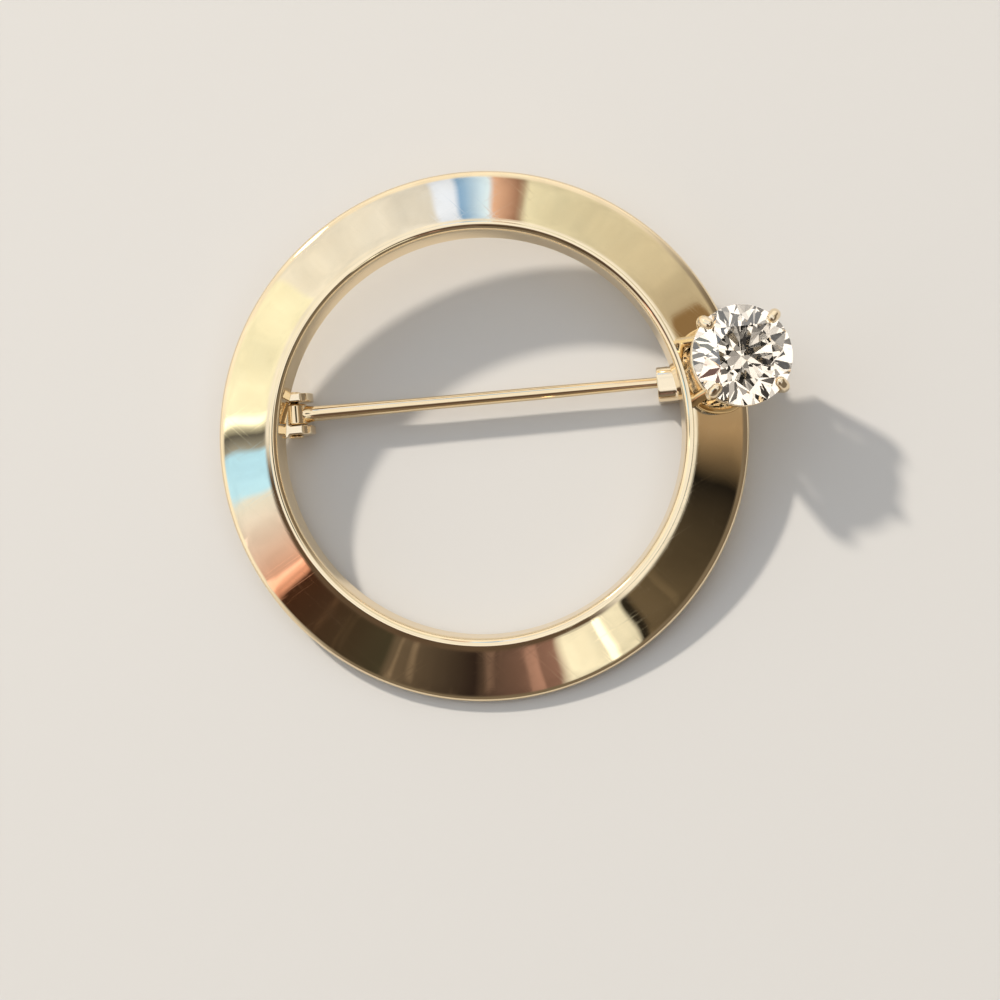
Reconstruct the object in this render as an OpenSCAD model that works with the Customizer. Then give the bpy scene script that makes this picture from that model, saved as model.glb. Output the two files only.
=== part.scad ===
// Circle brooch: a knife-edge gold ring with one claw-set round brilliant on its edge.
// Millimetres, lying on a table as it comes to rest by itself: +Z up, the floor at Z = 0.
// It stands on three places: the ring's lower rim, the pin joint and the pin catch.

/* [Ring] */
// Outside diameter of the ring
ring_d = 25.4; // [22:0.1:30]
// Diameter of the sharp ridge round the front
ridge_d = 20.14; // [19.6:0.02:20.6]
// Diameter of the opening at the back
opening_d = 19; // [18:0.1:19.2]
// Thickness from the flat back to the ridge
ring_t = 1.5; // [1.3:0.05:1.8]
// Radius of the rounded outer rim
rim_round = 0.3; // [0.2:0.02:0.35]
// Radius of the rounded shoulder inside the ridge
shoulder_r = 0.4; // [0.3:0.02:0.5]
// Chamfer between the inner wall and the back
back_chamfer = 0.12; // [0.05:0.01:0.2]

/* [Stone] */
// Diameter of the stone at its girdle
stone_d = 4.74; // [4.5:0.02:4.9]
// Table diameter as a share of the girdle
table_share = 0.57; // [0.52:0.01:0.62]
// Crown height as a share of the girdle
crown_share = 0.15; // [0.12:0.01:0.17]
// Pavilion depth as a share of the girdle
pavilion_share = 0.43; // [0.41:0.01:0.45]
// Thickness of the girdle
girdle_t = 0.1; // [0.06:0.01:0.14]
// Reach of the star facets from the table towards the girdle
star_share = 0.5; // [0.45:0.01:0.55]
// Reach of the lower halves from the girdle towards the culet
lower_half_share = 0.77; // [0.7:0.01:0.8]

/* [Setting] */
// Distance of the head's foot from the ring's centre
head_r = 12.42; // [12.3:0.02:12.48]
// Angle of the head from the line of the pin stem
head_turn = 10.9; // [8:0.1:14]
// Lean of the head out over the rim
head_lean = 11; // [9:0.5:13]
// Turn of the four prongs about the head's own axis
prong_turn = 36; // [30:1:45]
// Height of the stone's girdle above the ring's face
girdle_h = 2.24; // [2.2:0.01:2.3]
// Radius of the prong wire
prong_r = 0.3; // [0.28:0.01:0.33]
// Radius of the rounded prong tips
tip_r = 0.26; // [0.24:0.01:0.28]
// Distance of the prongs from the head's axis at the ring's face
foot_rho = 1.62; // [1.58:0.01:1.66]
// Radius of the gallery rail wire
rail_r = 0.19; // [0.17:0.01:0.21]
// Height of the upper gallery rail
rail_high = 1.66; // [1.6:0.01:1.68]
// Height of the lower gallery rail, which is soldered to the ring
rail_low = 0.2; // [0.18:0.01:0.22]
// Depth of the head's closed foot below the ring's face
cup_depth = 0.2; // [0.16:0.01:0.22]
// Height of the closed foot's floor under the stone's point
cup_floor = 0.06; // [0.02:0.01:0.07]
// Gap between the stone and the metal that holds it
seat_gap = 0.03; // [0.02:0.01:0.05]

/* [Pin] */
// Distance of the pin stem from the ring's centre
stem_off = 1.85; // [1.7:0.05:2.2]
// Depth of the stem's axis behind the ring's back
stem_depth = 0.85; // [0.8:0.05:0.95]
// Diameter of the stem where it leaves the eye
root_d = 0.74; // [0.7:0.01:0.8]
// Diameter of the stem along its parallel middle
stem_d = 0.64; // [0.6:0.01:0.68]
// Diameter of the stem in the catch
neck_d = 0.5; // [0.46:0.01:0.56]
// Start of the parallel middle, from the ring's middle
level_from = -3; // [-4:0.1:-2]
// End of the parallel middle, from the ring's middle
level_to = 2.6; // [2:0.1:4]
// Distance of the rivet from the ring's middle, along the stem
rivet_x = 9.1; // [9:0.05:9.2]
// Reach of the pin's point past the ring's middle
point_x = 11.1; // [10.9:0.1:11.3]
// Length of the tapered point
taper_l = 1.3; // [1:0.1:1.6]
// Radius of the pin's eye
eye_r = 0.62; // [0.58:0.02:0.64]
// Width of the pin's eye
eye_w = 1.0; // [0.9:0.05:1.05]

/* [Joint and catch] */
// Depth of the joint and the catch behind the ring's back
standoff = 1.8; // [1.75:0.05:2]
// Half of the joint's width across the stem
joint_half = 1.0; // [0.98:0.01:1.05]
// Thickness of each ear of the joint
ear_t = 0.42; // [0.36:0.02:0.44]
// Radius of the rivet
rivet_r = 0.22; // [0.2:0.01:0.24]
// Radius of the rivet's formed heads
rivet_head_r = 0.36; // [0.32:0.02:0.4]
// Thickness of the rivet's formed heads
rivet_head_t = 0.12; // [0.1:0.01:0.14]
// Running clearance round the rivet
rivet_gap = 0.03; // [0.02:0.01:0.05]
// Start of the catch along the stem
catch_x = 8.5; // [8.4:0.05:8.7]
// Width of the catch along the stem
catch_w = 1.5; // [1.3:0.05:1.6]
// Wall of the catch
catch_wall = 0.3; // [0.26:0.01:0.34]
// Room beside the wire in the mouth of the catch
mouth_gap = 0.14; // [0.06:0.01:0.16]

/* [Attitude] */
// Turn of the pin stem about the vertical
stem_turn = 5.4; // [0:0.1:10]

/* [Hidden] */
gold = [0.83, 0.66, 0.36];
pale_gold = [0.87, 0.73, 0.45];
ice = [0.9, 0.94, 0.97];
fine = 96;
round_sides = 48;
rim_steps = 6;
bury = 0.1;

ring_r = ring_d / 2;
ridge_r = ridge_d / 2;
opening_r = opening_d / 2;
// Centre of the rim's rounding
rim_c = [ring_r - rim_round, rim_round];
// The front face runs from the ridge to where it touches the rounding
face_reach = norm([rim_c[0] - ridge_r, ring_t - rim_c[1]]);
face_slope = atan2(ring_t - rim_c[1], rim_c[0] - ridge_r) - asin(rim_round / face_reach);
// Height of the front face at the head's foot
head_z = ring_t - (head_r - ridge_r) * tan(face_slope);

// The table touches the rim and the outer lower edge of the joint and the catch
foot_y = stem_off - joint_half;
rest_line = norm([foot_y + rim_c[0], standoff + rim_c[1]]);
rest_tilt = atan2(standoff + rim_c[1], foot_y + rim_c[0]) - asin(rim_round / rest_line);
rest_lift = rim_c[0] * sin(rest_tilt) - rim_c[1] * cos(rest_tilt) + rim_round;

stone_r = stone_d / 2;
crown_h = stone_d * crown_share;
pavilion_h = stone_d * pavilion_share;
crown_slope = atan2(crown_h, stone_r * (1 - table_share));
// The prong's axis at the elbow where the claw turns in over the crown
elbow_rho = stone_r + 0.11;
elbow_z = girdle_h + 0.28;
claw_l = 0.42;
leg_slope = (elbow_rho - foot_rho) / elbow_z;
// The two inner prongs run down into the ring, the two outer ones end on the closed foot
inner_foot = -0.1;
outer_foot = -0.02;
// Step between a rounded end and the wire that it closes
round_step = 0.02;

// Reach of the stone past the ring's centre, which sets the middle of the whole
stone_out = head_r + girdle_h * sin(head_lean);
reach_x = stone_out * cos(head_turn + stem_turn) + stone_r * cos(head_lean);
middle_x = (reach_x - ring_r) / 2;

root_r = root_d / 2;
stem_r = stem_d / 2;
neck_r = neck_d / 2;
bore_r = rivet_r + rivet_gap;
ear_in = joint_half - ear_t;
ear_r = standoff - stem_depth;
// The plate of the joint, and the bends of the catch
plate_t = 0.32;
plate_l = 1.5;
lip_t = 0.4;
wire_room = 0.26;
corner_r = 0.12;
hollow_r = 0.35;
roll_r = 0.6;

// Lays the brooch down: its own X runs along the stem and its own Z out of the front
module at_rest() {
  translate([-middle_x, 0, rest_lift])
    rotate([0, 0, stem_turn])
      rotate([rest_tilt, 0, 0])
        children();
}

// The head stands on the sloping front face, half of it out over the rim
module on_face() {
  rotate([0, 0, head_turn])
    translate([head_r, 0, head_z])
      rotate([0, head_lean, 0])
        rotate([0, 0, prong_turn])
          children();
}

// Points along a round stretch of an outline
function arc(centre, r, from, to, steps) = [
  for (i = [0 : steps])
    let (a = from + (to - from) * i / steps)
      centre + r * [cos(a), sin(a)]
];

// Section of the ring: the back's inner edge, the shoulder up to the ridge, the face and the rim
module ring_section() {
  polygon(concat(
    [
      [opening_r + back_chamfer, 0],
      [opening_r, back_chamfer]
    ],
    arc([ridge_r, ring_t - shoulder_r], shoulder_r, 180, 90, rim_steps),
    arc(rim_c, rim_round, 90 - face_slope, -90, rim_steps)
  ));
}

module knife_edge_ring() {
  rotate_extrude($fn = fine) ring_section();
}

// One claw: a leaning leg from its foot's height, a turned-in end and a rounded tip
module prong(foot_z) {
  lean = atan(leg_slope);
  translate([foot_rho + foot_z * leg_slope, 0, foot_z])
    rotate([0, lean, 0])
      cylinder(h = (elbow_z - foot_z) / cos(lean), r = prong_r, $fn = round_sides);
  translate([elbow_rho, 0, elbow_z]) {
    sphere(r = prong_r + round_step, $fn = round_sides);
    rotate([0, crown_slope - 90, 0]) {
      cylinder(h = claw_l, r1 = prong_r, r2 = tip_r - round_step, $fn = round_sides);
      translate([0, 0, claw_l]) sphere(r = tip_r, $fn = round_sides);
    }
  }
}

// Room for the stone, a little larger all round, cut from the prongs
module stone_seat() {
  g = seat_gap;
  half = girdle_t / 2 + g;
  translate([0, 0, girdle_h])
    rotate_extrude($fn = fine)
      polygon([
        [0, -half - pavilion_h],
        [stone_r + g, -half],
        [stone_r + g, half],
        [stone_r * table_share + g, half + crown_h],
        [0, half + crown_h]
      ]);
}

module rail(z) {
  translate([0, 0, z])
    rotate_extrude($fn = fine)
      translate([foot_rho + z * leg_slope, 0])
        circle(r = rail_r, $fn = round_sides);
}

// The head's foot: a shallow closed dish whose edge is the lower rail
module cup() {
  rotate_extrude($fn = fine)
    polygon([
      [0, -cup_depth],
      [foot_rho - 0.17, -cup_depth],
      [foot_rho + rail_low * leg_slope, rail_low],
      [foot_rho - 0.22, cup_floor],
      [0, cup_floor]
    ]);
}

module prong_head() {
  on_face() {
    cup();
    rail(rail_low);
    rail(rail_high);
    difference() {
      union() {
        for (a = [90, 180]) rotate([0, 0, a]) prong(inner_foot);
        for (a = [0, 270]) rotate([0, 0, a]) prong(outer_foot);
      }
      stone_seat();
    }
  }
}

// Two ears on a plate, drilled for the rivet
module pin_joint() {
  translate([-rivet_x, stem_off, 0]) {
    translate([-ear_r - plate_l / 2, -joint_half, -plate_t])
      cube([plate_l, 2 * joint_half, plate_t + bury]);
    difference() {
      for (side = [-1, 1])
        translate([0, side * (ear_in + ear_t / 2), 0]) ear();
      translate([0, 0, -stem_depth])
        rotate([90, 0, 0])
          cylinder(h = 3 * joint_half, r = bore_r, center = true, $fn = round_sides);
    }
  }
}

module ear() {
  rotate([90, 0, 0])
    linear_extrude(ear_t, center = true) {
      translate([0, -stem_depth]) circle(r = ear_r, $fn = round_sides);
      translate([-ear_r, -stem_depth])
        square([1.5 * ear_r, stem_depth + bury]);
    }
}

// Section of the catch across the stem: a strip rolled over the wire, with a lip under the
// wire, open away from the ring just wider than the wire
module catch_section() {
  low = foot_y;
  lip = stem_off - neck_r - mouth_gap;
  high = stem_off + neck_r + mouth_gap + catch_wall;
  top = -stem_depth + neck_r + wire_room;
  c = corner_r;
  bend = hollow_r;
  half_wall = catch_wall / 2;
  polygon(concat(
    arc([low + roll_r, bury - roll_r], roll_r, 90, 180, 8),
    arc([low + c, -standoff + c], c, 180, 270, 3),
    arc([lip - c, -standoff + c], c, 270, 360, 3),
    arc([lip - c, -standoff + lip_t - c], c, 0, 90, 3),
    [[low + catch_wall, -standoff + lip_t]],
    arc([low + catch_wall + bend, top - bend], bend, 180, 90, 4),
    arc([high - catch_wall - bend, top - bend], bend, 90, 0, 4),
    arc([high - half_wall, -standoff + half_wall], half_wall, 180, 360, 6),
    arc([high - roll_r, bury - roll_r], roll_r, 0, 90, 8)
  ));
}

module pin_catch() {
  translate([catch_x, 0, 0])
    rotate([90, 0, 90])
      linear_extrude(catch_w) catch_section();
}

// Soldered gold: ring, head, joint and catch are one piece of metal
module brooch_frame() {
  color(gold) at_rest() {
    knife_edge_ring();
    prong_head();
    pin_joint();
    pin_catch();
  }
}

// Evenly spaced points on a level circle
function ring_at(count, r, z, first) = [
  for (i = [0 : count - 1])
    let (a = first + 360 * i / count)
      [r * cos(a), r * sin(a), z]
];

// Round brilliant about its girdle. A kite is one plane through its table or culet corner
// and its girdle corner, and that plane gives the height of its two side corners.
module brilliant() {
  g = girdle_t / 2;
  table_r = stone_r * table_share;
  crown_mid = table_r * cos(22.5) + star_share * (stone_r - table_r * cos(22.5));
  crown_mid_z = g + crown_h * (stone_r - crown_mid * cos(22.5)) / (stone_r - table_r);
  low_mid = stone_r * (1 - lower_half_share);
  low_mid_z = -g - pavilion_h * (1 - low_mid * cos(22.5) / stone_r);
  points = concat(
    ring_at(8, table_r, g + crown_h, 0),
    ring_at(8, crown_mid, crown_mid_z, 22.5),
    ring_at(16, stone_r, g, 0),
    ring_at(16, stone_r, -g, 0),
    ring_at(8, low_mid, low_mid_z, 22.5),
    [[0, 0, -g - pavilion_h]]
  );
  function table(i) = (i + 8) % 8;
  function mid(i) = 8 + (i + 8) % 8;
  function upper(i) = 16 + (i + 16) % 16;
  function lower(i) = 32 + (i + 16) % 16;
  function low(i) = 48 + (i + 8) % 8;
  culet = 56;
  faces = concat(
    [[for (i = [7 : -1 : 0]) table(i)]],
    [for (i = [0 : 7]) [table(i), table(i + 1), mid(i)]],
    [for (i = [0 : 7]) [mid(i - 1), table(i), mid(i), upper(2 * i)]],
    [for (i = [0 : 7]) [mid(i), upper(2 * i + 1), upper(2 * i)]],
    [for (i = [0 : 7]) [mid(i), upper(2 * i + 2), upper(2 * i + 1)]],
    [for (i = [0 : 15]) [upper(i), upper(i + 1), lower(i + 1), lower(i)]],
    [for (i = [0 : 7]) [low(i), lower(2 * i), lower(2 * i + 1)]],
    [for (i = [0 : 7]) [low(i), lower(2 * i + 1), lower(2 * i + 2)]],
    [for (i = [0 : 7]) [low(i - 1), lower(2 * i), low(i), culet]]
  );
  polyhedron(points, faces, convexity = 2);
}

module diamond() {
  color(ice) at_rest() on_face()
    translate([0, 0, girdle_h])
      rotate([0, 0, 22.5])
        brilliant();
}

// The wire from the eye's middle: it thins to a parallel stretch, thins again to the catch
// and ends in a short point
module stem_wire() {
  reach = point_x + rivet_x;
  rotate([0, 90, 0])
    rotate_extrude($fn = round_sides)
      polygon([
        [0, 0],
        [root_r, 0],
        [stem_r, level_from + rivet_x],
        [stem_r, level_to + rivet_x],
        [neck_r, reach - taper_l],
        [neck_r / 4, reach],
        [0, reach]
      ]);
}

module pin_stem() {
  color(pale_gold) at_rest()
    translate([-rivet_x, stem_off, -stem_depth])
      difference() {
        union() {
          rotate([90, 0, 0])
            cylinder(h = eye_w, r = eye_r, center = true, $fn = round_sides);
          stem_wire();
        }
        rotate([90, 0, 0])
          cylinder(h = 2 * eye_w, r = bore_r, center = true, $fn = round_sides);
      }
}

module hinge_rivet() {
  reach = joint_half + rivet_gap;
  color(gold) at_rest()
    translate([-rivet_x, stem_off, -stem_depth])
      rotate([90, 0, 0]) {
        cylinder(h = 2 * reach, r = rivet_r, center = true, $fn = round_sides);
        for (side = [-1, 1])
          translate([0, 0, side * (reach + rivet_head_t / 2)])
            cylinder(h = rivet_head_t, r = rivet_head_r, center = true, $fn = round_sides);
      }
}

brooch_frame();
diamond();
pin_stem();
hinge_rivet();
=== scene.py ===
import math

import bmesh
import bpy
from mathutils import Matrix, Vector


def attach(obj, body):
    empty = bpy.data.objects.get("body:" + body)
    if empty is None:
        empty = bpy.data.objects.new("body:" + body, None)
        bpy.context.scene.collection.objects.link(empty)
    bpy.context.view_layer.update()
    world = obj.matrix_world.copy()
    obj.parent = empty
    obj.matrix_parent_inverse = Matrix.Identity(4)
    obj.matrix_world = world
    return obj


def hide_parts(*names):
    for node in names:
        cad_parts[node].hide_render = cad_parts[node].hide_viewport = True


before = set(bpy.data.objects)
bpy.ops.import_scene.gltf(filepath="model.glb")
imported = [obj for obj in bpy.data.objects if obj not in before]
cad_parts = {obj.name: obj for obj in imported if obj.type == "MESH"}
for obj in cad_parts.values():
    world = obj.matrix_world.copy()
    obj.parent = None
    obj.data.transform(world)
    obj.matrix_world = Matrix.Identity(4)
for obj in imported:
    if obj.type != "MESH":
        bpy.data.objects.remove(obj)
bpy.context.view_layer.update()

# Sizes
# Millimetres and degrees, in the brooch's own frame: X along the pin stem, Z out of the front, the ring's
# flat back at Z = 0. They repeat the values of the CAD source.

# Ring
ring_r = 12.7
ridge_r = 10.07
opening_r = 9.5
ring_t = 1.5
rim_round = 0.3
shoulder_r = 0.4
back_chamfer = 0.12

# Stone
stone_r = 2.37
table_share = 0.57
crown_share = 0.15
pavilion_share = 0.43
girdle_t = 0.1
star_share = 0.5
lower_half_share = 0.77

# Head: its place on the ring's face, and its parts in its own frame, where rho is the distance from its axis
head_r = 12.42
head_turn = 10.9
head_lean = 11
prong_turn = 36
girdle_h = 2.24
prong_r = 0.3
tip_r = 0.26
claw_l = 0.42
foot_rho = 1.62
elbow_rho = 2.48
elbow_z = 2.52
inner_foot = -0.1
outer_foot = -0.02
rail_r = 0.19
rail_high = 1.66
rail_low = 0.2
cup_depth = 0.2
cup_floor = 0.06

# Pin stem and rivet
stem_off = 1.85
stem_depth = 0.85
stem_turn = 5.4
rivet_x = 9.1
point_x = 11.1
taper_l = 1.3
root_r = 0.37
stem_r = 0.32
neck_r = 0.25
level_from = -3.0
level_to = 2.6
eye_r = 0.62
eye_w = 1.0
bore_r = 0.25
rivet_r = 0.22
rivet_head_r = 0.36
rivet_head_t = 0.12
rivet_reach = 1.03

# Pin joint and catch
standoff = 1.8
joint_half = 1.0
ear_t = 0.42
plate_t = 0.32
plate_l = 1.5
catch_x = 8.5
catch_w = 1.5
catch_wall = 0.3
mouth_gap = 0.14
lip_t = 0.4
wire_room = 0.26
hollow_r = 0.35
roll_r = 0.6

# Slope of the front face, and the lean at which the brooch comes to rest on its rim, joint and catch
rim_c = ring_r - rim_round
face_slope = (math.atan2(ring_t - rim_round, rim_c - ridge_r)
              - math.asin(rim_round / math.hypot(rim_c - ridge_r, ring_t - rim_round)))
head_z = ring_t - (head_r - ridge_r) * math.tan(face_slope)
foot_y = stem_off - joint_half
rest_tilt = (math.atan2(standoff + rim_round, foot_y + rim_c)
             - math.asin(rim_round / math.hypot(foot_y + rim_c, standoff + rim_round)))
rest_lift = rim_c * math.sin(rest_tilt) - rim_round * math.cos(rest_tilt) + rim_round

# Slopes and heights that follow in the head and the stone
leg_slope = (elbow_rho - foot_rho) / elbow_z
rail_rho = foot_rho + rail_low * leg_slope
crown_h = 2 * stone_r * crown_share
pavilion_h = 2 * stone_r * pavilion_share
crown_slope = math.atan2(crown_h, stone_r * (1 - table_share))

# The origin is under the middle of the box round the brooch, from the ring's left to the stone's right
stone_out = head_r + girdle_h * math.sin(math.radians(head_lean))
reach_x = (stone_out * math.cos(math.radians(head_turn + stem_turn))
           + stone_r * math.cos(math.radians(head_lean)))
middle_x = (reach_x - ring_r) / 2


def turn(degrees, axis):
    return Matrix.Rotation(math.radians(degrees), 4, axis)


# Places: from millimetres to metres, and from the frames of the ring, the head and the rivet to the row's
mm = 0.001
TO_METRES = Matrix.Scale(mm, 4)
LAID_DOWN = (Matrix.Translation((-middle_x, 0, rest_lift)) @ turn(stem_turn, "Z")
             @ Matrix.Rotation(rest_tilt, 4, "X"))
ON_FACE = (LAID_DOWN @ turn(head_turn, "Z") @ Matrix.Translation((head_r, 0, head_z))
           @ turn(head_lean, "Y") @ turn(prong_turn, "Z"))
AT_RIVET = LAID_DOWN @ Matrix.Translation((-rivet_x, stem_off, -stem_depth))

# Camera
# Its place in millimetres and its turn, found from the ring's circles and the stone in the picture
camera_place = Vector((11.919, -25.820, 124.330))
camera_right = Vector((0.99539, 0.02231, -0.09330))
camera_up = Vector((-0.00495, 0.98323, 0.18228))
camera_back = camera_right.cross(camera_up)
camera_axes = Matrix((camera_right, camera_up, camera_back)).transposed().to_4x4()

camera = bpy.data.cameras.new("camera")
camera.sensor_width = 36
camera.lens = 94.724
camera.clip_start = 0.01
camera.clip_end = 10
camera_ob = bpy.data.objects.new("camera", camera)
camera_ob.matrix_world = Matrix.Translation(camera_place * mm) @ camera_axes
bpy.context.scene.collection.objects.link(camera_ob)
bpy.context.scene.camera = camera_ob

# Nodes and colours
# A Mix node's two colours and its result share their names with other sockets, so they go by number
FIRST_COLOUR, SECOND_COLOUR, MIXED_COLOUR = 6, 7, 2


def put(tree, kind, inputs=None, **settings):
    """Adds a node with its settings. An input takes a value, a socket, or a node for its first output."""
    node = tree.nodes.new(kind)
    for name, setting in settings.items():
        setattr(node, name, setting)
    for key, given in (inputs or {}).items():
        source = given.outputs[0] if isinstance(given, bpy.types.Node) else given
        if isinstance(source, bpy.types.NodeSocket):
            tree.links.new(source, node.inputs[key])
        else:
            node.inputs[key].default_value = source
    return node


def tone(code, level=1.0):
    """An sRGB hex colour as linear RGBA, times a level."""
    parts = [int(code[i:i + 2], 16) / 255 for i in (1, 3, 5)]
    linear = [c / 12.92 if c <= 0.04045 else ((c + 0.055) / 1.055) ** 2.4 for c in parts]
    return tuple(level * c for c in linear) + (1.0,)


def new_material(name):
    """A material with an empty node tree, and the tree."""
    made = bpy.data.materials.new(name)
    made.use_nodes = True
    made.node_tree.nodes.clear()
    return made, made.node_tree


def brooch_millimetres(tree):
    """Object coordinates turned back into the brooch's own frame, in millimetres."""
    return put(tree, "ShaderNodeMapping", {
        "Vector": put(tree, "ShaderNodeTexCoord").outputs["Object"],
        "Location": LAID_DOWN.to_translation() * mm,
        "Rotation": LAID_DOWN.to_euler("XYZ"),
        "Scale": (mm, mm, mm)}, vector_type="TEXTURE")


def streaks(tree, place, lay, across, along):
    """Coordinates for fine lines that run round the ring, along the stem, or in no direction.
    across and along are lines to the millimetre."""
    if lay == "none":
        return put(tree, "ShaderNodeVectorMath", {0: place, "Scale": across}, operation="SCALE")
    x, y, z = put(tree, "ShaderNodeSeparateXYZ", {0: place}).outputs
    if lay == "round":
        # Distance from the ring's axis, and the way round it at a radius in the middle of the face
        face_r = 11.0
        flat = put(tree, "ShaderNodeCombineXYZ", {"X": x, "Y": y})
        radius = put(tree, "ShaderNodeVectorMath", {0: flat}, operation="LENGTH").outputs["Value"]
        angle = put(tree, "ShaderNodeMath", {0: y, 1: x}, operation="ARCTAN2")
        arc = put(tree, "ShaderNodeMath", {0: angle, 1: face_r}, operation="MULTIPLY")
        laid = put(tree, "ShaderNodeCombineXYZ", {"X": radius, "Y": arc, "Z": z})
    else:
        laid = put(tree, "ShaderNodeCombineXYZ", {"X": y, "Y": x, "Z": z})
    return put(tree, "ShaderNodeVectorMath", {0: laid, 1: (across, along, across)}, operation="MULTIPLY")


# Materials


def gold(name, light, deep, lay, shine, haze, ripple):
    """14 carat gold, cast or drawn and then buffed by hand: a mirror with a slight ripple from the buff,
    hairline scratches along the way it was polished, and soft patches where it has been touched.
    shine and haze are its roughness where it is clean and where it is dulled. ripple is the depth of the
    buff's ripple in millimetres."""
    made, tree = new_material(name)
    place = brooch_millimetres(tree)
    # Cloudy patches about 3 mm across, where fingers have dulled the polish
    cloud = put(tree, "ShaderNodeTexNoise", {
        "Vector": place, "Scale": 0.33, "Detail": 5.0, "Roughness": 0.62, "Distortion": 0.7})
    dull = put(tree, "ShaderNodeMapRange", {
        "Value": cloud, "From Min": 0.53, "From Max": 0.74, "To Min": shine, "To Max": haze},
        interpolation_type="SMOOTHSTEP")
    # Hairlines 0.06 mm apart and a few millimetres long
    lines = put(tree, "ShaderNodeTexNoise", {
        "Vector": streaks(tree, place, lay, across=16.0, along=0.35),
        "Scale": 1.0, "Detail": 2.0, "Roughness": 0.5})
    scuffs = put(tree, "ShaderNodeMapRange", {
        "Value": lines, "From Min": 0.6, "From Max": 0.8, "To Min": 0.0, "To Max": 0.05})
    # Scratches from wear, 0.03 mm wide and a few millimetres long, in two directions
    worn = []
    for degrees in (28, -47):
        laid = put(tree, "ShaderNodeMapping", {
            "Vector": place, "Rotation": (0, 0, math.radians(degrees)), "Scale": (4.5, 0.06, 3.0)},
            vector_type="TEXTURE")
        drift = put(tree, "ShaderNodeTexNoise", {"Vector": laid, "Scale": 1.0, "Detail": 0.0})
        worn.append(put(tree, "ShaderNodeMapRange", {"Value": drift, "From Min": 0.71, "From Max": 0.77}))
    scratches = put(tree, "ShaderNodeMath", {0: worn[0], 1: worn[1]}, operation="MAXIMUM")
    marks = put(tree, "ShaderNodeMath", {0: scratches, 1: 0.05, 2: scuffs}, operation="MULTIPLY_ADD")
    rough = put(tree, "ShaderNodeMath", {0: dull, 1: marks}, operation="ADD")
    # The alloy's own unevenness, about a millimetre across, and painted shade: a darker, warmer tone in the
    # hollows
    patch = put(tree, "ShaderNodeTexNoise", {
        "Vector": place, "Scale": 0.8, "Detail": 3.0, "Roughness": 0.5})
    uneven = put(tree, "ShaderNodeMath", {0: patch, 1: 0.22}, operation="MULTIPLY")
    # Painted shade: concave places get up to 70 percent of the deep tone
    hollow_shade = put(tree, "ShaderNodeMapRange", {
        "Value": put(tree, "ShaderNodeNewGeometry").outputs["Pointiness"],
        "From Min": 0.5, "From Max": 0.42, "To Min": 0.0, "To Max": 0.7})
    unevenness_and_hollow_shade = put(tree, "ShaderNodeMath", {0: uneven, 1: hollow_shade}, operation="MAXIMUM")
    # The colour mixes the light and deep tones by the alloy's unevenness or the painted shade in the hollows,
    # whichever is stronger
    alloy = put(tree, "ShaderNodeMix", {
        0: unevenness_and_hollow_shade, FIRST_COLOUR: tone(light), SECOND_COLOUR: tone(deep)}, data_type="RGBA")
    # Ripple of the buff, 3 to 5 mm long, with the hairlines and the scratches in it
    wave = put(tree, "ShaderNodeTexNoise", {"Vector": place, "Scale": 0.3, "Detail": 1.6})
    swell = put(tree, "ShaderNodeBump", {"Height": wave, "Strength": 1.0, "Distance": ripple * mm})
    hair = put(tree, "ShaderNodeBump", {
        "Height": lines, "Strength": 0.35, "Distance": 0.0012 * mm, "Normal": swell})
    groove = put(tree, "ShaderNodeBump", {
        "Height": scratches, "Strength": 0.06, "Distance": 0.002 * mm, "Normal": hair}, invert=True)
    shader = put(tree, "ShaderNodeBsdfPrincipled", {
        "Base Color": alloy.outputs[MIXED_COLOUR], "Metallic": 1.0, "Roughness": rough, "Normal": groove})
    put(tree, "ShaderNodeOutputMaterial", {"Surface": shader})
    return made


def cut_diamond(name, rough):
    """Diamond: clear, with a very high index. Its polished facets are sharp mirrors, and its bruted girdle
    is finely frosted."""
    made, tree = new_material(name)
    # Polish lines and dust on the facets, about 0.4 mm apart, too faint to blur a facet
    dust = put(tree, "ShaderNodeTexNoise", {
        "Vector": brooch_millimetres(tree), "Scale": 2.4, "Detail": 4.0, "Roughness": 0.6})
    veil = put(tree, "ShaderNodeMapRange", {
        "Value": dust, "From Min": 0.55, "From Max": 0.8, "To Min": rough, "To Max": rough + 0.03})
    shader = put(tree, "ShaderNodeBsdfPrincipled", {
        "Base Color": tone("#fdfeff"), "Transmission Weight": 1.0, "IOR": 2.417, "Roughness": veil})
    put(tree, "ShaderNodeOutputMaterial", {"Surface": shader})
    return made


ring_gold = gold("polished_14ct_gold_ring", light="#f7e4c0", deep="#eac792", lay="round",
                 shine=0.03, haze=0.1, ripple=0.007)
cast_gold = gold("cast_and_buffed_14ct_gold_head", light="#f9e8c8", deep="#e2b680", lay="none",
                 shine=0.11, haze=0.19, ripple=0.004)
wire_gold = gold("drawn_14ct_gold_wire", light="#f6e0b8", deep="#e4ba86", lay="along",
                 shine=0.07, haze=0.17, ripple=0.002)
facet_diamond = cut_diamond("polished_diamond_facets", rough=0.0)
bruted_diamond = cut_diamond("bruted_diamond_girdle", rough=0.3)

# Shapes

# How near a turned section comes to its axis, and how near two points are merged
at_axis = 0.0004
same_point = 0.00001


def shape_tree(name, sizes):
    """A new Geometry Nodes tree with a geometry coming in and going out and named inputs for its sizes."""
    tree = bpy.data.node_groups.new(name, "GeometryNodeTree")
    for label, kind in {"Geometry": "Geometry", **sizes}.items():
        tree.interface.new_socket(name=label, in_out="INPUT", socket_type="NodeSocket" + kind)
    tree.interface.new_socket(name="Geometry", in_out="OUTPUT", socket_type="NodeSocketGeometry")
    return tree, put(tree, "NodeGroupInput").outputs


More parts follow.
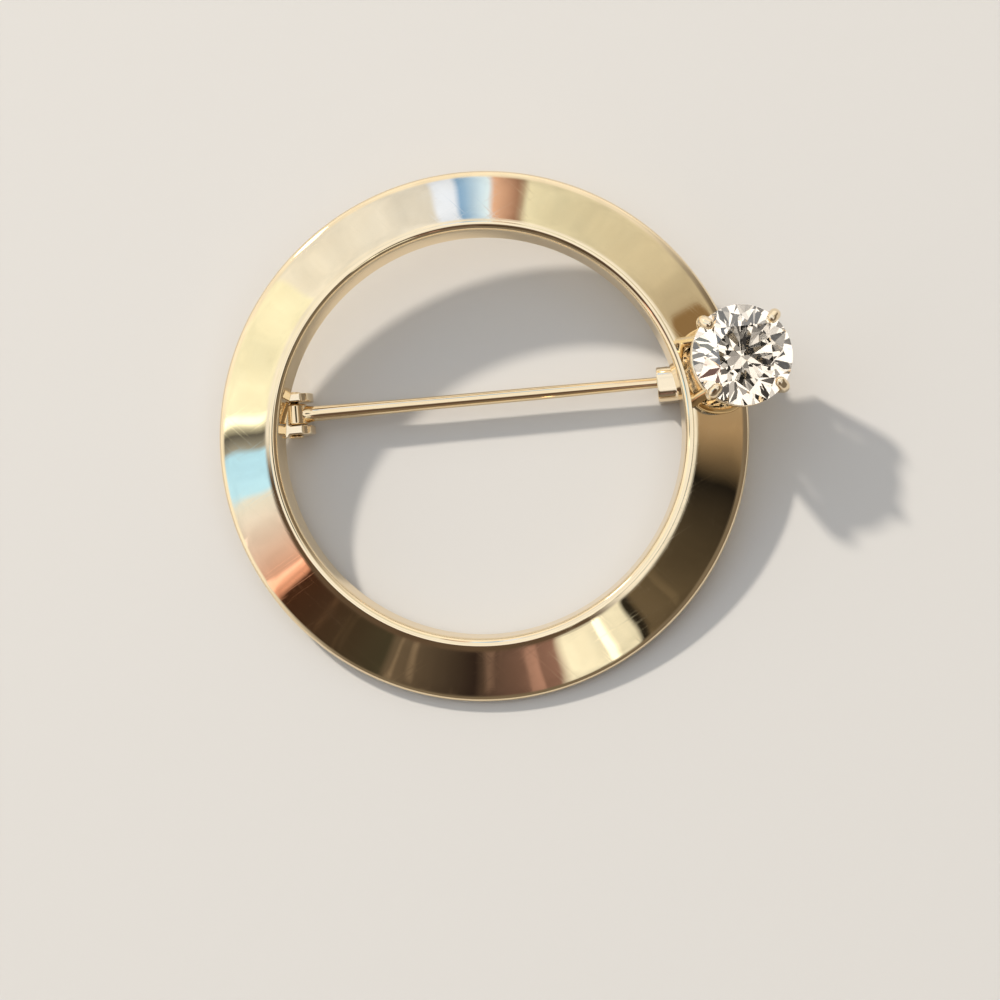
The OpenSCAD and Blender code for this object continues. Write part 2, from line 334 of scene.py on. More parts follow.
def finish_tree(tree, geometry, material):
    """Real geometry, smooth, with its material, as the tree's result."""
    real = put(tree, "GeometryNodeRealizeInstances", {0: geometry})
    smooth = put(tree, "GeometryNodeSetShadeSmooth", {0: real})
    painted = put(tree, "GeometryNodeSetMaterial", {"Geometry": smooth, "Material": material})
    put(tree, "NodeGroupOutput", {0: painted})


def turned_section_tree():
    """Turns a closed section round the axis. The section's X is the distance from the turning circle, and
    its Y points down."""
    tree, given = shape_tree("turned_section", {"Radius": "Float", "Segments": "Int", "Material": "Material"})
    section = put(tree, "GeometryNodeMeshToCurve", {0: given["Geometry"]})
    circle = put(tree, "GeometryNodeCurvePrimitiveCircle", {
        "Resolution": given["Segments"], "Radius": given["Radius"]})
    swept = put(tree, "GeometryNodeCurveToMesh", {"Curve": circle, "Profile Curve": section})
    finish_tree(tree, swept, given["Material"])
    return tree


def claw_set_tree():
    """Draws a wire along a path, as thick at each point as its thickness says, and repeats it round the axis
    from a first angle."""
    tree, given = shape_tree("claw_set", {
        "Count": "Int", "First": "Float", "Step": "Float", "Sides": "Int", "Material": "Material"})
    path = put(tree, "GeometryNodeMeshToCurve", {0: given["Geometry"]})
    wire = put(tree, "GeometryNodeCurvePrimitiveCircle", {"Resolution": given["Sides"], "Radius": 1.0})
    thick = put(tree, "GeometryNodeInputNamedAttribute", {"Name": "thickness"}, data_type="FLOAT")
    claw = put(tree, "GeometryNodeCurveToMesh", {
        "Curve": path, "Profile Curve": wire, "Scale": thick, "Fill Caps": True})
    angle = put(tree, "ShaderNodeMath", {
        0: put(tree, "GeometryNodeInputIndex"), 1: given["Step"], 2: given["First"]},
        operation="MULTIPLY_ADD")
    spin = put(tree, "ShaderNodeCombineXYZ", {"Z": angle})
    places = put(tree, "GeometryNodePoints", {"Count": given["Count"]})
    repeated = put(tree, "GeometryNodeInstanceOnPoints", {
        "Points": places, "Instance": claw, "Rotation": spin})
    finish_tree(tree, repeated, given["Material"])
    return tree


TURNED = turned_section_tree()
CLAWS = claw_set_tree()


def temporary(mesh):
    """A working object for a mesh, linked so that its modifiers can run."""
    made = bpy.data.objects.new("working", mesh)
    bpy.context.scene.collection.objects.link(made)
    return made


def baked(working):
    """The working object with its modifiers applied, as a plain mesh. The working object goes."""
    depsgraph = bpy.context.evaluated_depsgraph_get()
    mesh = bpy.data.meshes.new_from_object(working.evaluated_get(depsgraph))
    bpy.data.objects.remove(working)
    return mesh


def facing_out(mesh):
    """The mesh with its doubles merged and its faces pointing outwards."""
    bm = bmesh.new()
    bm.from_mesh(mesh)
    bmesh.ops.remove_doubles(bm, verts=bm.verts, dist=same_point)
    bmesh.ops.dissolve_degenerate(bm, edges=bm.edges, dist=same_point)
    bmesh.ops.recalc_face_normals(bm, faces=bm.faces)
    bm.to_mesh(mesh)
    bm.free()
    return mesh


def run_tree(mesh, tree, sizes):
    """Runs a shape tree on a mesh, its inputs set by their identifiers, and returns a plain mesh."""
    working = temporary(mesh)
    step = working.modifiers.new("shape", "NODES")
    step.node_group = tree
    for item in tree.interface.items_tree:
        if item.item_type == "SOCKET" and item.in_out == "INPUT" and item.name in sizes:
            step[item.identifier] = sizes[item.name]
    return facing_out(baked(working))


def circle_points(r, count, x=0.0, y=0.0):
    angles = [2 * math.pi * k / count for k in range(count)]
    return [(x + r * math.cos(a), y + r * math.sin(a)) for a in angles]


def rounded(corners, hold=0.012):
    """A closed outline from corners (x, y, rounding, steps). A point close beyond each end of a rounding
    keeps the flats flat."""
    points = []
    for i, (x, y, r, steps) in enumerate(corners):
        corner = Vector((x, y))
        before = (Vector(corners[i - 1][:2]) - corner).normalized()
        after = (Vector(corners[(i + 1) % len(corners)][:2]) - corner).normalized()
        half = before.angle(after) / 2
        centre = corner + (before + after).normalized() * (r / math.sin(half))
        start = corner + before * (r / math.tan(half))
        end = corner + after * (r / math.tan(half))
        sweep = math.pi - 2 * half
        points.append(start + before * hold)
        for k in range(steps + 1):
            s = k / steps
            points.append(centre + ((start - centre) * math.sin((1 - s) * sweep)
                                    + (end - centre) * math.sin(s * sweep)) / math.sin(sweep))
        points.append(end + after * hold)
    return [(p.x, p.y) for p in points]


def rounded_box(x0, x1, y0, y1, r):
    """The outline of a rectangle with its corners rounded."""
    return rounded([(x0, y0, r, 4), (x1, y0, r, 4), (x1, y1, r, 4), (x0, y1, r, 4)])


def turned(outline, segments, material, circle_r=5.0):
    """A closed outline of (radius, height) turned round the Z axis."""
    mesh = bpy.data.meshes.new("section")
    points = [(r - circle_r, -z, 0) for r, z in outline]
    mesh.from_pydata(points, [(i, (i + 1) % len(points)) for i in range(len(points))], [])
    return run_tree(mesh, TURNED, {"Radius": circle_r, "Segments": segments, "Material": material})


def extruded(outline, low, high):
    """A closed outline of (x, y) made a solid from Z low to high."""
    bm = bmesh.new()
    face = bm.faces.new([bm.verts.new((x, y, low)) for x, y in outline])
    lid = bmesh.ops.extrude_face_region(bm, geom=[face])["geom"]
    lid_points = [v for v in lid if isinstance(v, bmesh.types.BMVert)]
    bmesh.ops.translate(bm, vec=(0, 0, high - low), verts=lid_points)
    bmesh.ops.recalc_face_normals(bm, faces=bm.faces)
    mesh = bpy.data.meshes.new("extruded")
    bm.to_mesh(mesh)
    bm.free()
    return mesh


def moved(mesh, matrix):
    mesh.transform(matrix)
    return mesh


def joined(*meshes):
    bm = bmesh.new()
    for mesh in meshes:
        bm.from_mesh(mesh)
    whole = bpy.data.meshes.new("joined")
    bm.to_mesh(whole)
    bm.free()
    return whole


def cut(mesh, tool):
    """mesh less tool."""
    working, cutter = temporary(mesh), temporary(tool)
    step = working.modifiers.new("cut", "BOOLEAN")
    step.operation, step.solver, step.object = "DIFFERENCE", "EXACT", cutter
    made = baked(working)
    bpy.data.objects.remove(cutter)
    return made


def dressed(mesh, material):
    """The mesh, smooth and in one material."""
    mesh.materials.clear()
    mesh.materials.append(material)
    for face in mesh.polygons:
        face.use_smooth, face.material_index = True, 0
    return mesh


def flowed(mesh, grain, passes, material):
    """Parts run together as soldered and buffed metal is: one skin, with its inside corners filled and its
    edges softened."""
    working = temporary(mesh)
    skin = working.modifiers.new("skin", "REMESH")
    skin.mode, skin.voxel_size = "VOXEL", grain
    soft = working.modifiers.new("buff", "SMOOTH")
    soft.factor, soft.iterations = 0.5, passes
    return dressed(facing_out(baked(working)), material)


def piece(name, mesh, matrix, body, node):
    """A finished piece in the row frame, in metres, riding on its body and standing for its CAD node."""
    mesh.transform(TO_METRES @ matrix)
    mesh.name = name
    made = bpy.data.objects.new(name, mesh)
    bpy.context.scene.collection.objects.link(made)
    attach(made, body)
    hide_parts(node)
    return made


# Ring


def ring():
    """One section turned round: flat back, steep wall, rounded shoulder, ridge, broad face, round rim."""
    # The steep wall leans back to where the shoulder starts, and its line goes on up to the ridge's height
    lean = (ridge_r - shoulder_r - opening_r) / (ring_t - shoulder_r - back_chamfer)
    outline = rounded([
        (opening_r + back_chamfer, 0, 0.04, 4),
        (opening_r, back_chamfer, 0.04, 4),
        (opening_r + lean * (ring_t - back_chamfer), ring_t, shoulder_r - 0.05, 20),
        (ridge_r, ring_t, 0.03, 3),
        (ridge_r + ring_t / math.tan(face_slope), 0, rim_round, 26)])
    # Buffing has domed the face very slightly, most of it close to the ridge and the rim. The face is the
    # outline's longest step outwards, and the dome takes the place of the two points that end it.
    dome_h, dome_steps = 0.022, 48
    ridge_end = max(range(len(outline) - 1), key=lambda k: outline[k + 1][0] - outline[k][0])
    start, end = Vector(outline[ridge_end]), Vector(outline[ridge_end + 3])
    domed = []
    for k in range(1, dome_steps):
        t = k / dome_steps
        point = start.lerp(end, t)
        domed.append((point.x, point.y + dome_h * (1 - abs(2 * t - 1) ** 5)))
    outline[ridge_end + 1:ridge_end + 3] = domed
    return turned(outline, segments=480, material=ring_gold, circle_r=ring_r)


# Head


def claw_path(foot_z):
    """Points and thicknesses of one claw: the leg, the bend over the girdle, the end on the crown and its
    rounded tip."""
    before_elbow, past_elbow, thinning = 0.36, 0.24, 0.02
    foot = Vector((foot_rho + foot_z * leg_slope, 0, foot_z))
    elbow = Vector((elbow_rho, 0, elbow_z))
    inward = Vector((-math.cos(crown_slope), 0, math.sin(crown_slope)))
    bend_from = elbow - (elbow - foot).normalized() * before_elbow
    bend_to = elbow + inward * past_elbow
    bent_r = prong_r - thinning
    path = [(foot.lerp(bend_from, k / 12), prong_r) for k in range(12)]
    for k in range(13):
        s = k / 12
        point = bend_from * (1 - s) ** 2 + elbow * 2 * s * (1 - s) + bend_to * s ** 2
        path.append((point, prong_r - thinning * s))
    tip = elbow + inward * claw_l
    path += [(bend_to.lerp(tip, k / 3), bent_r - (bent_r - tip_r) * k / 3) for k in (1, 2, 3)]
    for k in range(1, 9):
        s = math.sin(k / 8 * math.pi / 2)
        path.append((tip + inward * tip_r * s, tip_r * math.sqrt(max(1 - s * s, 0.0004))))
    return path


def claws(foot_z, first):
    """Two neighbouring claws. The inner two stand in the ring's face, the outer two on the closed foot."""
    path = claw_path(foot_z)
    mesh = bpy.data.meshes.new("claw path")
    mesh.from_pydata([p for p, _ in path], [(i, i + 1) for i in range(len(path) - 1)], [])
    thickness = mesh.attributes.new("thickness", "FLOAT", "POINT")
    thickness.data.foreach_set("value", [t for _, t in path])
    return run_tree(mesh, CLAWS, {
        "Count": 2, "First": math.radians(first), "Step": math.radians(90), "Sides": 32,
        "Material": cast_gold})


def stone_seat():
    """The room that is filed out of the claws for the stone."""
    room = 0.045
    half = girdle_t / 2 + room
    return turned([
        (at_axis, girdle_h - half - pavilion_h),
        (stone_r + room, girdle_h - half),
        (stone_r + room, girdle_h + half),
        (stone_r * table_share + room, girdle_h + half + crown_h),
        (at_axis, girdle_h + half + crown_h)], segments=96, material=cast_gold)


def rail(z):
    """A gallery rail of round wire, as wide at its height as the claws stand apart there."""
    wire = circle_points(rail_r, 24, x=foot_rho + z * leg_slope, y=z)
    return turned(wire, segments=128, material=cast_gold)


def cup():
    """The head's foot: a shallow closed dish whose edge is the lower rail."""
    under_r, inside_r = foot_rho - 0.17, foot_rho - 0.22
    return turned([
        (at_axis, -cup_depth),
        (under_r, -cup_depth),
        (rail_rho, rail_low),
        (inside_r, cup_floor),
        (at_axis, cup_floor)], segments=96, material=cast_gold)


def head_solder(angle, rho, wide, deep):
    """A low mound of solder on the ring's face, at an angle and a distance in the head's own frame."""
    high = 0.13
    bm = bmesh.new()
    bmesh.ops.create_uvsphere(bm, u_segments=24, v_segments=16, radius=1.0)
    mesh = bpy.data.meshes.new("solder")
    bm.to_mesh(mesh)
    bm.free()
    # The face falls away outwards more steeply than the head leans
    from_inside = math.radians(angle - 180 + prong_turn)
    slope = face_slope - math.radians(head_lean)
    spot = Vector((rho * math.cos(math.radians(angle)), rho * math.sin(math.radians(angle)),
                   rho * math.cos(from_inside) * math.tan(slope)))
    lie = (Matrix.Translation(spot) @ turn(-prong_turn, "Z") @ Matrix.Rotation(slope, 4, "Y")
           @ turn(prong_turn + angle, "Z"))
    return moved(mesh, lie @ Matrix.Diagonal((deep, wide, high, 1)))


def claw_head():
    """The claws, filed for the stone, on the foot and the rails, with solder where they meet the ring."""
    inner = cut(claws(inner_foot, first=90), stone_seat())
    outer = cut(claws(outer_foot, first=270), stone_seat())
    solder = [
        head_solder(90, foot_rho, wide=0.46, deep=0.42),
        head_solder(180, foot_rho, wide=0.46, deep=0.42),
        head_solder(144, rail_rho, wide=0.9, deep=0.3)]
    parts = joined(inner, outer, cup(), rail(rail_low), rail(rail_high), *solder)
    return flowed(parts, grain=0.04, passes=4, material=cast_gold)


# Stone


def brilliant():
    """A round brilliant cut from a round blank, one flat facet at a time: table, 8 kites, 8 stars and
    16 halves above the girdle, 8 kites and 16 halves below it."""
    step, half_step = 45, 22.5
    g = girdle_t / 2
    table_r = stone_r * table_share
    edge = table_r * math.cos(math.radians(half_step))
    mid = edge + star_share * (stone_r - edge)
    mid_z = g + crown_h * (stone_r - mid * math.cos(math.radians(half_step))) / (stone_r - table_r)
    low = stone_r * (1 - lower_half_share)
    low_z = -g - pavilion_h * (1 - low * math.cos(math.radians(half_step)) / stone_r)

    def at(radius, degrees, z):
        return Vector((radius * math.cos(math.radians(degrees)), radius * math.sin(math.radians(degrees)), z))

    facets = [(at(0, 0, g + crown_h), at(0, 0, 1))]
    for k in range(8):
        a = step * k
        facets += [
            (at(stone_r, a, g), at(crown_h, a, stone_r - table_r)),
            (at(stone_r, a, -g), at(pavilion_h, a, -stone_r)),
            (at(mid, a + half_step, mid_z), at(g + crown_h - mid_z, a + half_step, mid - edge))]
        for b in (a, a + half_step):
            for corner, z in ((at(mid, a + half_step, mid_z), g), (at(low, a + half_step, low_z), -g)):
                normal = (at(stone_r, b, z) - corner).cross(at(stone_r, b + half_step, z) - corner)
                outwards = normal.dot(at(1, b + half_step / 2, 0)) > 0
                facets.append((corner, normal if outwards else -normal))
    bm = bmesh.new()
    bmesh.ops.create_cone(bm, cap_ends=True, segments=128, radius1=stone_r, radius2=stone_r, depth=8)
    for point, normal in facets:
        bmesh.ops.bisect_plane(
            bm, geom=bm.verts[:] + bm.edges[:] + bm.faces[:], dist=same_point,
            plane_co=point, plane_no=normal, clear_outer=True)
        bmesh.ops.holes_fill(bm, edges=[e for e in bm.edges if e.is_boundary])
    bmesh.ops.remove_doubles(bm, verts=bm.verts, dist=0.002)
    bmesh.ops.recalc_face_normals(bm, faces=bm.faces)
    for face in bm.faces:
        face.smooth = False
        face.material_index = 1 if abs(face.normal.z) < 0.02 else 0
    mesh = bpy.data.meshes.new("brilliant")
    bm.to_mesh(mesh)
    bm.free()
    mesh.materials.append(facet_diamond)
    mesh.materials.append(bruted_diamond)
    return mesh


# Pin joint and catch
# Each stands on the ring's back, and reaches a little into the ring

into_ring = 0.1


def solder_foot(x0, x1, y0, y1):
    """A low skirt of solder round a rectangle's foot on the ring's back, spreading as it meets the ring."""
    parts = []
    for spread, depth in ((0.16, 0.03), (0.09, 0.08), (0.04, 0.15)):
        outline = rounded_box(x0 - spread, x1 + spread, y0 - spread, y1 + spread, 0.14)
        parts.append(extruded(outline, -depth, into_ring))
    return joined(*parts)


def pin_joint():
    """A plate with two ears. The ears are round below the rivet and reach up into the ring."""
    ear_r = standoff - stem_depth
    ear_in = joint_half - ear_t
    x0 = -rivet_x - ear_r - plate_l / 2
    y0, y1 = stem_off - joint_half, stem_off + joint_half
    plate = extruded(rounded_box(x0, x0 + plate_l, y0, y1, 0.12), -plate_t, into_ring)
    # One ear in its own plane: X along the stem, Y up towards the ring
    angles = [math.radians(180 + 240 * k / 40) for k in range(41)]
    outline = [(-ear_r, stem_depth + into_ring)]
    outline += [(ear_r * math.cos(a), ear_r * math.sin(a)) for a in angles]
    outline += [(0.5 * ear_r, stem_depth + into_ring)]
    bore = circle_points(bore_r, 32)
    upright = Matrix.Translation((-rivet_x, stem_off, -stem_depth)) @ turn(90, "X")
    ears = []
    for side in (-1, 1):
        y = side * (ear_in + ear_t / 2)
        ear = cut(extruded(outline, y - ear_t / 2, y + ear_t / 2), extruded(bore, y - ear_t, y + ear_t))
        ears.append(moved(ear, upright))
    foot = solder_foot(x0, x0 + plate_l - 0.2, y0, y1)
    return flowed(joined(plate, *ears, foot), grain=0.035, passes=7, material=cast_gold)


def pin_catch():
    """A strip bent over the wire, with a lip below and the mouth away from the ring."""
    lip_y = stem_off - neck_r - mouth_gap
    far_y = stem_off + neck_r + mouth_gap + catch_wall
    top = -stem_depth + neck_r + wire_room
    outline = rounded([
        (foot_y, into_ring, roll_r, 12),
        (foot_y, -standoff, 0.14, 5),
        (lip_y, -standoff, 0.14, 5),
        (lip_y, -standoff + lip_t, 0.12, 5),
        (foot_y + catch_wall, -standoff + lip_t, 0.04, 3),
        (foot_y + catch_wall, top, hollow_r, 6),
        (far_y - catch_wall, top, hollow_r, 6),
        (far_y - catch_wall, -standoff, 0.14, 6),
        (far_y, -standoff, 0.14, 6),
        (far_y, into_ring, roll_r, 12)], hold=0.004)
    # The section lies in Y and Z and is drawn out along X
    stand = Matrix(((0, 0, 1, 0), (1, 0, 0, 0), (0, 1, 0, 0), (0, 0, 0, 1)))
    strip = moved(extruded(outline, catch_x, catch_x + catch_w), stand)
    foot = solder_foot(catch_x + 1.05, catch_x + catch_w, foot_y + 0.27, far_y - 0.27)
    return flowed(joined(strip, foot), grain=0.035, passes=14, material=cast_gold)


# Pin stem and rivet


def pin_wire():
    """The wire, in the rivet's frame along X: a swelling where it leaves the eye, a slow taper, and a short
    point."""
    reach = point_x + rivet_x
    drawn = [
        (at_axis, 0.3),
        (0.45, 0.3),
        (0.45, 0.5),
        (0.425, 0.62),
        (0.395, 0.76),
        (root_r + 0.002, 0.95),
        (root_r - 0.004, 1.3),
        (stem_r + 0.012, level_from + rivet_x - 1.2),
        (stem_r, level_from + rivet_x),
        (stem_r, level_to + rivet_x),
        (stem_r - 0.012, level_to + rivet_x + 1.4),
        (neck_r, reach - taper_l),
        (neck_r * 0.93, reach - taper_l + 0.25),
        (neck_r * 0.7, reach - taper_l * 0.45),
        (neck_r / 3, reach - 0.14),
        (neck_r / 5, reach - 0.04),
        (0.03, reach - 0.008),
        (at_axis, reach)]
    eye = rounded([
        (bore_r, -eye_w / 2, 0.03, 3),
        (eye_r, -eye_w / 2, 0.09, 5),
        (eye_r, eye_w / 2, 0.09, 5),
        (bore_r, eye_w / 2, 0.03, 3)])
    wire = moved(turned(drawn, segments=48, material=wire_gold), turn(90, "Y"))
    rolled = moved(turned(eye, segments=64, material=wire_gold), turn(90, "X"))
    return dressed(joined(wire, rolled), wire_gold)


def rivet():
    """A wire pin with both ends hammered to low domes."""
    brim = 0.04
    angles = [k * math.pi / 16 for k in range(8)]
    upper = [(rivet_r, rivet_reach), (rivet_head_r - 0.02, rivet_reach)]
    upper += [(rivet_head_r * math.cos(a), rivet_reach + brim + (rivet_head_t - brim) * math.sin(a))
              for a in angles]
    upper += [(at_axis, rivet_reach + rivet_head_t)]
    outline = upper + [(r, -z) for r, z in reversed(upper)]
    return moved(turned(outline, segments=48, material=wire_gold), turn(90, "X"))


# Pieces

stone_mesh = moved(brilliant(), turn(22.5, "Z"))
AT_GIRDLE = ON_FACE @ Matrix.Translation((0, 0, girdle_h))

piece("ring_body", ring(), LAID_DOWN, "brooch", "brooch_frame")
piece("claw_head", claw_head(), ON_FACE, "brooch", "brooch_frame")
piece("pin_joint", pin_joint(), LAID_DOWN, "brooch", "brooch_frame")
piece("pin_catch", pin_catch(), LAID_DOWN, "brooch", "brooch_frame")
piece("brilliant", stone_mesh, AT_GIRDLE, "brooch", "diamond")
piece("pin_wire", pin_wire(), AT_RIVET, "pin", "pin_stem")
piece("hinge_rivet_domed", rivet(), AT_RIVET, "brooch", "hinge_rivet")

# Floor and light


def floor():
    """A plain pale board. From below it is clear, so that the brooch's back can be seen."""
    made, tree = new_material("matt_painted_board")
    # The paint's grain, about a millimetre across
    grain = put(tree, "ShaderNodeTexNoise", {
        "Vector": put(tree, "ShaderNodeTexCoord").outputs["Object"], "Scale": 900.0, "Detail": 3.0})
    bump = put(tree, "ShaderNodeBump", {"Height": grain, "Strength": 0.2, "Distance": 0.02 * mm})
    paint = put(tree, "ShaderNodeBsdfPrincipled", {
        "Base Color": tone("#d2d0cc"), "Roughness": 0.75, "Normal": bump})
    both = put(tree, "ShaderNodeMixShader", {
        0: put(tree, "ShaderNodeNewGeometry").outputs["Backfacing"],
        1: paint,
        2: put(tree, "ShaderNodeBsdfTransparent")})
    put(tree, "ShaderNodeOutputMaterial", {"Surface": both})
    bm = bmesh.new()
    bmesh.ops.create_circle(bm, cap_ends=True, segments=64, radius=1.5)
    mesh = bpy.data.meshes.new("floor")
    bm.to_mesh(mesh)
    bm.free()
    mesh.materials.append(made)
    board = bpy.data.objects.new("floor", mesh)
    bpy.context.scene.collection.objects.link(board)


# Soft cards that stand round the brooch. Each runs from its direction, in degrees round from +X, to the next
# one's, and goes from its first tone to its second. White is CARD_PEAK bright. CARD_EDGE is half the width of
# the soft edge between two cards, in degrees.
CARDS = [
    (0, "#80705c", "#b2b5ac"),
    (87, "#6a5148", "#b89a90"),
    (95, "#b4cff4", "#618bc4"),
    (103, "#b6c8f0", "#b6c8f0"),
    (109, "#abb1be", "#bec2c8"),
    (147, "#c4c9c0", "#c4c9c0"),
    (180, "#211d1a", "#828688"),
    (185, "#94c4f2", "#9bcaf6"),
    (195, "#bcc4ce", "#a87868"),
    (216, "#301e16", "#302e26"),
    (243, "#4c443c", "#201918"),
    (264, "#372e2a", "#6a5350"),
    (284, "#bfc2be", "#bfc2be"),
    (303, "#1e1b16", "#1e1b16"),
    (306, "#4e463a", "#141210"),
    (345, "#1e1b16", "#80705c")]
CARD_PEAK = 1.9
CARD_EDGE = 0.4

# Directions of the lamp, of the middle of all that the ring's face mirrors towards the camera, and of the
# dark side of the surroundings
key_azimuth, key_elevation = math.radians(136), math.radians(32.5)
TO_KEY = Vector((math.cos(key_azimuth) * math.cos(key_elevation),
                 math.sin(key_azimuth) * math.cos(key_elevation), math.sin(key_elevation)))
ring_axis = LAID_DOWN.to_3x3() @ Vector((0, 0, 1))
camera_lean = camera_back - ring_axis * camera_back.dot(ring_axis)
TO_MIRRORED = (ring_axis - 1.17 * camera_lean).normalized()
TO_DARK_SIDE = Vector((-0.42, -0.91, 0))
KEY_TONE = "#fff6ea"


def laid_over(tree, way, under, direction, edge, over):
    """The surroundings with a soft-edged field laid over them. edge gives the cosines of the angle from the
    field's direction at which it starts and at which it is full."""
    facing = put(tree, "ShaderNodeVectorMath", {0: way, 1: direction}, operation="DOT_PRODUCT")
    share = put(tree, "ShaderNodeMapRange", {
        "Value": facing.outputs["Value"], "From Min": edge[0], "From Max": edge[1]},
        interpolation_type="SMOOTHSTEP")
    return put(tree, "ShaderNodeMix", {
        0: share, FIRST_COLOUR: under, SECOND_COLOUR: over}, data_type="RGBA").outputs[MIXED_COLOUR]


def card_row(tree, way):
    """The cards round the brooch. The dark ones are pleated."""
    x, y, _ = put(tree, "ShaderNodeSeparateXYZ", {0: way}).outputs
    angle = put(tree, "ShaderNodeMath", {0: y, 1: x}, operation="ARCTAN2")
    whole = put(tree, "ShaderNodeMath", {0: angle, 1: 2 * math.pi}, operation="FLOORED_MODULO")
    part = put(tree, "ShaderNodeMath", {0: whole, 1: 2 * math.pi}, operation="DIVIDE")
    cards = put(tree, "ShaderNodeValToRGB", {0: part})
    stops = []
    for i, (start, first, second) in enumerate(CARDS):
        finish = CARDS[i + 1][0] if i + 1 < len(CARDS) else 360
        stops += [(start + CARD_EDGE, first), (finish - CARD_EDGE, second)]
    # The ramp comes with two stops. One goes, and the other takes the first card's tone.
    row = cards.color_ramp.elements
    row.remove(row[0])
    row[0].position, row[0].color = stops[0][0] / 360, tone(stops[0][1])
    for degrees, code in stops[1:]:
        row.new(degrees / 360).color = tone(code)

    # 13 cells of noise to the radian put the pleats about 4 degrees apart
    height = put(tree, "ShaderNodeVectorMath", {0: way, 1: TO_MIRRORED}, operation="DOT_PRODUCT")
    round_pleats = put(tree, "ShaderNodeMath", {0: angle, 1: 13.0}, operation="MULTIPLY")
    high_pleats = put(tree, "ShaderNodeMath", {0: height.outputs["Value"], 1: 2.0}, operation="MULTIPLY")
    folds = put(tree, "ShaderNodeTexNoise", {
        "Vector": put(tree, "ShaderNodeCombineXYZ", {"X": round_pleats, "Y": high_pleats}),
        "Scale": 1.0, "Detail": 2.0, "Roughness": 0.5})
    crests = put(tree, "ShaderNodeMapRange", {
        "Value": folds, "From Min": 0.54, "From Max": 0.66}, interpolation_type="SMOOTHSTEP")
    side = put(tree, "ShaderNodeVectorMath", {0: way, 1: TO_DARK_SIDE}, operation="DOT_PRODUCT")
    dark = put(tree, "ShaderNodeMapRange", {
        "Value": side.outputs["Value"], "From Min": 0.15, "From Max": 0.4},
        interpolation_type="SMOOTHSTEP")
    lift = put(tree, "ShaderNodeMath", {0: crests, 1: dark, 2: 1.0}, operation="MULTIPLY_ADD")
    return put(tree, "ShaderNodeVectorMath", {0: cards, "Scale": lift}, operation="SCALE")


def mirrored_by(facing, view):
    """The direction that a mirror shows to a viewer. facing is its normal, and view points to the viewer."""
    return 2 * facing.dot(view) * facing - view


def from_ring_face(r, degrees):
    """The direction that the ring's face mirrors towards the camera from one point, which is given by its
    distance from the ring's axis and its turn round it."""
    aside = turn(degrees, "Z")
    spot = LAID_DOWN @ aside @ Vector((r, 0, ring_t - (r - ridge_r) * math.tan(face_slope)))
    facing = LAID_DOWN.to_3x3() @ (aside @ turn(math.degrees(face_slope), "Y") @ Vector((0, 0, 1)))
    return mirrored_by(facing, (camera_place - spot).normalized())


def mirrored_light(tree, way):
    """What the polish mirrors: the cards at the height that the ring's face shows, a pale ceiling that ends
    in a dark side, a low grey surround, two small cards and the lamp."""
    ceiling = laid_over(tree, way, tone("#c1c4c9"), TO_DARK_SIDE, (0.3, 0.45), tone("#463b33"))
    above = laid_over(tree, way, card_row(tree, way), TO_MIRRORED, (0.735, 0.77), ceiling)
    surround = laid_over(tree, way, tone("#5c554d"), (-0.7, 0.7, 0), (-0.2, 0.35), tone("#c6c4c0"))
    whole = laid_over(tree, way, above, TO_MIRRORED, (0.62, 0.585), surround)
    # All of it is a little uneven, as painted card and the light on it are
    patches = put(tree, "ShaderNodeTexNoise", {
        "Vector": way, "Scale": 5.0, "Detail": 4.0, "Roughness": 0.65})
    uneven = put(tree, "ShaderNodeMapRange", {
        "Value": patches, "From Min": 0.3, "From Max": 0.7, "To Min": 0.84, "To Max": 1.16})
    lit = put(tree, "ShaderNodeVectorMath", {0: whole, "Scale": uneven}, operation="SCALE")
    # A small brown card for the ring's face beside the head, and a dark one for the stone's table
    from_face = from_ring_face(r=11.3, degrees=head_turn + 11)
    from_table = mirrored_by(ON_FACE.to_3x3() @ Vector((0, 0, 1)), camera_back)
    browned = laid_over(tree, way, lit, from_face, (0.9974, 0.9992), tone("#6b5941"))
    carded = laid_over(tree, way, browned, from_table, (0.986, 0.994), tone("#38352f"))
    # What the polish shows of the key light: a soft disc, less glaring than the lamp itself
    return laid_over(tree, way, carded, TO_KEY, (0.9972, 0.9988), tone(KEY_TONE, level=4.0))


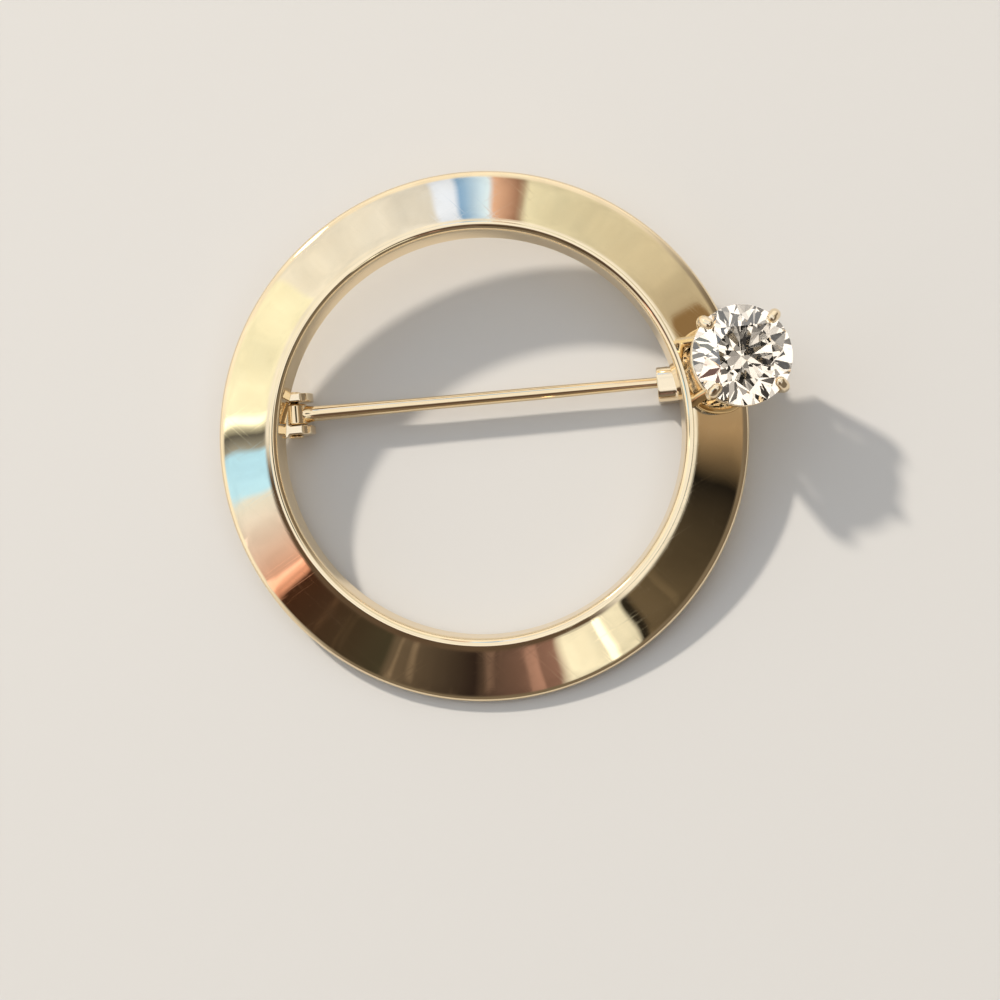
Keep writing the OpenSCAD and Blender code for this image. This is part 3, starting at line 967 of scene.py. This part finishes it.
def stone_light(tree, way):
    """What shows through the stone: brighter and darker fields, and a dark middle overhead."""
    fields = put(tree, "ShaderNodeTexNoise", {"Vector": way, "Scale": 2.6, "Detail": 1.0})
    share = put(tree, "ShaderNodeMapRange", {
        "Value": fields, "From Min": 0.38, "From Max": 0.52}, interpolation_type="SMOOTHSTEP")
    sparkle = put(tree, "ShaderNodeMix", {
        0: share, FIRST_COLOUR: tone("#4c4741"), SECOND_COLOUR: tone("#fff1de")}, data_type="RGBA")
    return laid_over(
        tree, way, sparkle.outputs[MIXED_COLOUR], camera_back, (0.93, 0.97), tone("#1c1a18"))


def studio():
    """Soft light all round. Seen directly it is a plain pale backdrop."""
    world = bpy.data.worlds.new("soft_studio")
    bpy.context.scene.world = world
    world.use_nodes = True
    tree = world.node_tree
    tree.nodes.clear()
    way = put(tree, "ShaderNodeTexCoord").outputs["Generated"]
    path = put(tree, "ShaderNodeLightPath").outputs
    through = put(tree, "ShaderNodeMath", {0: path["Transmission Depth"], 1: 0.5}, operation="GREATER_THAN")
    colour = put(tree, "ShaderNodeMix", {
        0: through, FIRST_COLOUR: mirrored_light(tree, way), SECOND_COLOUR: stone_light(tree, way)},
        data_type="RGBA").outputs[MIXED_COLOUR]
    light = put(tree, "ShaderNodeBackground", {"Color": colour, "Strength": CARD_PEAK})
    plain = put(tree, "ShaderNodeBackground", {"Color": tone("#dedcd9"), "Strength": 0.9})
    both = put(tree, "ShaderNodeMixShader", {0: path["Is Camera Ray"], 1: light, 2: plain})
    put(tree, "ShaderNodeOutputWorld", {"Surface": both})


def key_light(distance, size, watts):
    """A round lamp. The polish doesn't mirror it, because the disc in the surroundings stands for it."""
    lamp = bpy.data.lights.new("key", "AREA")
    lamp.shape, lamp.size, lamp.energy = "DISK", size, watts
    lamp.color = tone(KEY_TONE)[:3]
    made = bpy.data.objects.new("key", lamp)
    made.location = TO_KEY * distance
    made.rotation_euler = TO_KEY.to_track_quat("Z", "Y").to_euler()
    made.visible_glossy = False
    bpy.context.scene.collection.objects.link(made)


floor()
studio()
key_light(distance=1.2, size=0.08, watts=14.0)
bpy.context.scene.view_settings.view_transform = "Standard"
